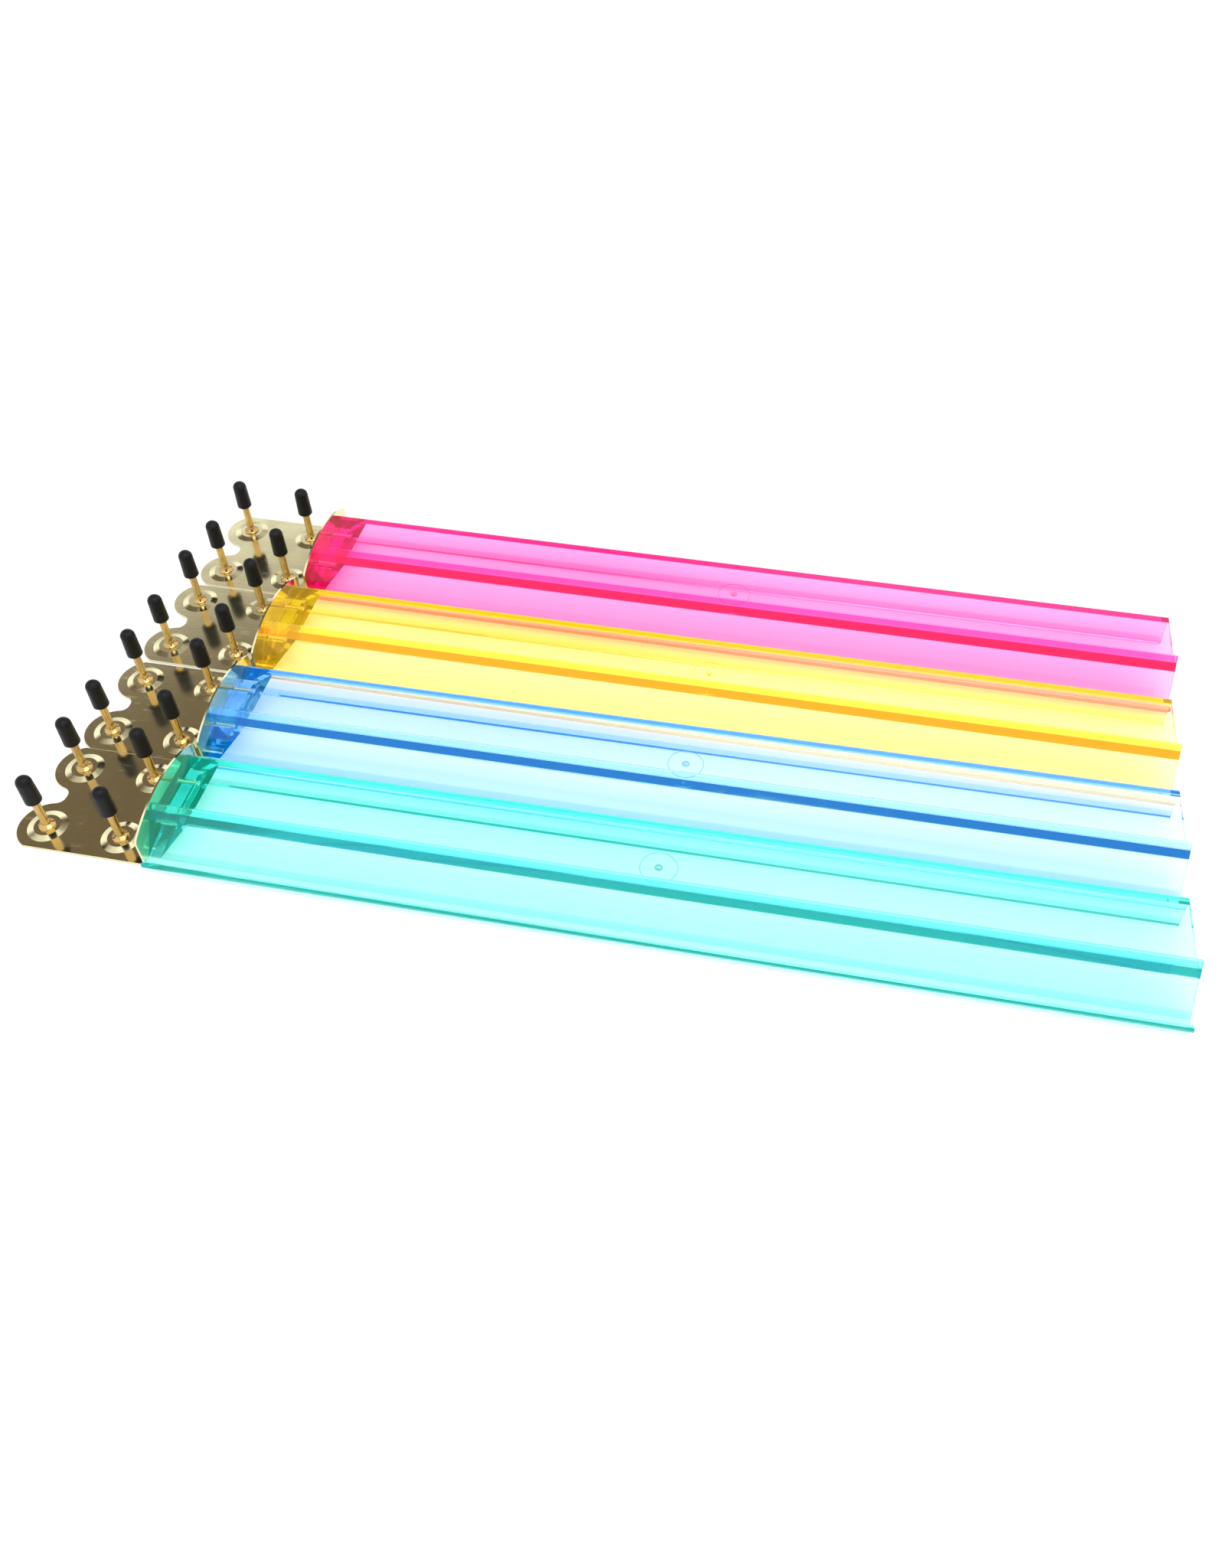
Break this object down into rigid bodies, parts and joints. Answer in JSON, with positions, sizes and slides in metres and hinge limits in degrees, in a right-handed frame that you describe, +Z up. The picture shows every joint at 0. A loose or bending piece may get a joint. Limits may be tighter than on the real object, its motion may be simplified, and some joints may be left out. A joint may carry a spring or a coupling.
{
  "type": "game tile rack set",
  "caption": "Set of long tinted acrylic tile racks with a ledge and leaning wall, each with a folded brass end bracket of capped coin posts.",
  "frame": {"origin": "middle of the set's footprint, at table level", "axes": "+X along the racks, away from their brackets; +Y from the front rack to the back one; +Z up"},
  "size_m": [0.5388, 0.2606, 0.0354],
  "materials": {
    "teal_acrylic": "clear tinted acrylic, polished",
    "blue_acrylic": "clear tinted acrylic, polished",
    "yellow_acrylic": "clear tinted acrylic, polished",
    "pink_acrylic": "clear tinted acrylic, polished",
    "brass_sheet": "polished, lightly scratched",
    "post_brass": "bright turned",
    "screw_brass": "bright",
    "cap_rubber": "satin black"
  },
  "bodies": {
    "teal_rack": {"teal_rack_body": "teal_acrylic", "teal_end_bracket": "brass_sheet", "teal_bracket_screws": "screw_brass", "teal_post_front_left": "post_brass", "teal_post_front_right": "post_brass", "teal_post_back_left": "post_brass", "teal_post_back_right": "post_brass"},
    "blue_rack": {"blue_rack_body": "blue_acrylic", "blue_end_bracket": "brass_sheet", "blue_bracket_screws": "screw_brass", "blue_post_front_left": "post_brass", "blue_post_front_right": "post_brass", "blue_post_back_left": "post_brass", "blue_post_back_right": "post_brass"},
    "yellow_rack": {"yellow_rack_body": "yellow_acrylic", "yellow_end_bracket": "brass_sheet", "yellow_bracket_screws": "screw_brass", "yellow_post_front_left": "post_brass", "yellow_post_front_right": "post_brass", "yellow_post_back_left": "post_brass", "yellow_post_back_right": "post_brass"},
    "pink_rack": {"pink_rack_body": "pink_acrylic", "pink_end_bracket": "brass_sheet", "pink_bracket_screws": "screw_brass", "pink_post_front_left": "post_brass", "pink_post_front_right": "post_brass", "pink_post_back_left": "post_brass", "pink_post_back_right": "post_brass"},
    "teal_cap_front_left": {"teal_cap_front_left": "cap_rubber"},
    "teal_cap_front_right": {"teal_cap_front_right": "cap_rubber"},
    "teal_cap_back_left": {"teal_cap_back_left": "cap_rubber"},
    "teal_cap_back_right": {"teal_cap_back_right": "cap_rubber"},
    "blue_cap_front_left": {"blue_cap_front_left": "cap_rubber"},
    "blue_cap_front_right": {"blue_cap_front_right": "cap_rubber"},
    "blue_cap_back_left": {"blue_cap_back_left": "cap_rubber"},
    "blue_cap_back_right": {"blue_cap_back_right": "cap_rubber"},
    "yellow_cap_front_left": {"yellow_cap_front_left": "cap_rubber"},
    "yellow_cap_front_right": {"yellow_cap_front_right": "cap_rubber"},
    "yellow_cap_back_left": {"yellow_cap_back_left": "cap_rubber"},
    "yellow_cap_back_right": {"yellow_cap_back_right": "cap_rubber"},
    "pink_cap_front_left": {"pink_cap_front_left": "cap_rubber"},
    "pink_cap_front_right": {"pink_cap_front_right": "cap_rubber"},
    "pink_cap_back_left": {"pink_cap_back_left": "cap_rubber"},
    "pink_cap_back_right": {"pink_cap_back_right": "cap_rubber"}
  },
  "joints": [
    {"name": "blue_rack_slide", "type": "slide", "parent": "teal_rack", "child": "blue_rack", "axis": [0, 1, 0], "range_m": [0, 0.12]},
    {"name": "yellow_rack_slide", "type": "slide", "parent": "blue_rack", "child": "yellow_rack", "axis": [0, 1, 0], "range_m": [0, 0.12]},
    {"name": "pink_rack_slide", "type": "slide", "parent": "yellow_rack", "child": "pink_rack", "axis": [0, 1, 0], "range_m": [0, 0.12]},
    {"name": "teal_cap_front_left_pull", "type": "slide", "parent": "teal_rack", "child": "teal_cap_front_left", "axis": [0, 0, 1], "range_m": [0, 0.016]},
    {"name": "teal_cap_front_right_pull", "type": "slide", "parent": "teal_rack", "child": "teal_cap_front_right", "axis": [0, 0, 1], "range_m": [0, 0.016]},
    {"name": "teal_cap_back_left_pull", "type": "slide", "parent": "teal_rack", "child": "teal_cap_back_left", "axis": [0, 0, 1], "range_m": [0, 0.016]},
    {"name": "teal_cap_back_right_pull", "type": "slide", "parent": "teal_rack", "child": "teal_cap_back_right", "axis": [0, 0, 1], "range_m": [0, 0.016]},
    {"name": "blue_cap_front_left_pull", "type": "slide", "parent": "blue_rack", "child": "blue_cap_front_left", "axis": [0, 0, 1], "range_m": [0, 0.016]},
    {"name": "blue_cap_front_right_pull", "type": "slide", "parent": "blue_rack", "child": "blue_cap_front_right", "axis": [0, 0, 1], "range_m": [0, 0.016]},
    {"name": "blue_cap_back_left_pull", "type": "slide", "parent": "blue_rack", "child": "blue_cap_back_left", "axis": [0, 0, 1], "range_m": [0, 0.016]},
    {"name": "blue_cap_back_right_pull", "type": "slide", "parent": "blue_rack", "child": "blue_cap_back_right", "axis": [0, 0, 1], "range_m": [0, 0.016]},
    {"name": "yellow_cap_front_left_pull", "type": "slide", "parent": "yellow_rack", "child": "yellow_cap_front_left", "axis": [0, 0, 1], "range_m": [0, 0.016]},
    {"name": "yellow_cap_front_right_pull", "type": "slide", "parent": "yellow_rack", "child": "yellow_cap_front_right", "axis": [0, 0, 1], "range_m": [0, 0.016]},
    {"name": "yellow_cap_back_left_pull", "type": "slide", "parent": "yellow_rack", "child": "yellow_cap_back_left", "axis": [0, 0, 1], "range_m": [0, 0.016]},
    {"name": "yellow_cap_back_right_pull", "type": "slide", "parent": "yellow_rack", "child": "yellow_cap_back_right", "axis": [0, 0, 1], "range_m": [0, 0.016]},
    {"name": "pink_cap_front_left_pull", "type": "slide", "parent": "pink_rack", "child": "pink_cap_front_left", "axis": [0, 0, 1], "range_m": [0, 0.016]},
    {"name": "pink_cap_front_right_pull", "type": "slide", "parent": "pink_rack", "child": "pink_cap_front_right", "axis": [0, 0, 1], "range_m": [0, 0.016]},
    {"name": "pink_cap_back_left_pull", "type": "slide", "parent": "pink_rack", "child": "pink_cap_back_left", "axis": [0, 0, 1], "range_m": [0, 0.016]},
    {"name": "pink_cap_back_right_pull", "type": "slide", "parent": "pink_rack", "child": "pink_cap_back_right", "axis": [0, 0, 1], "range_m": [0, 0.016]}
  ]
}
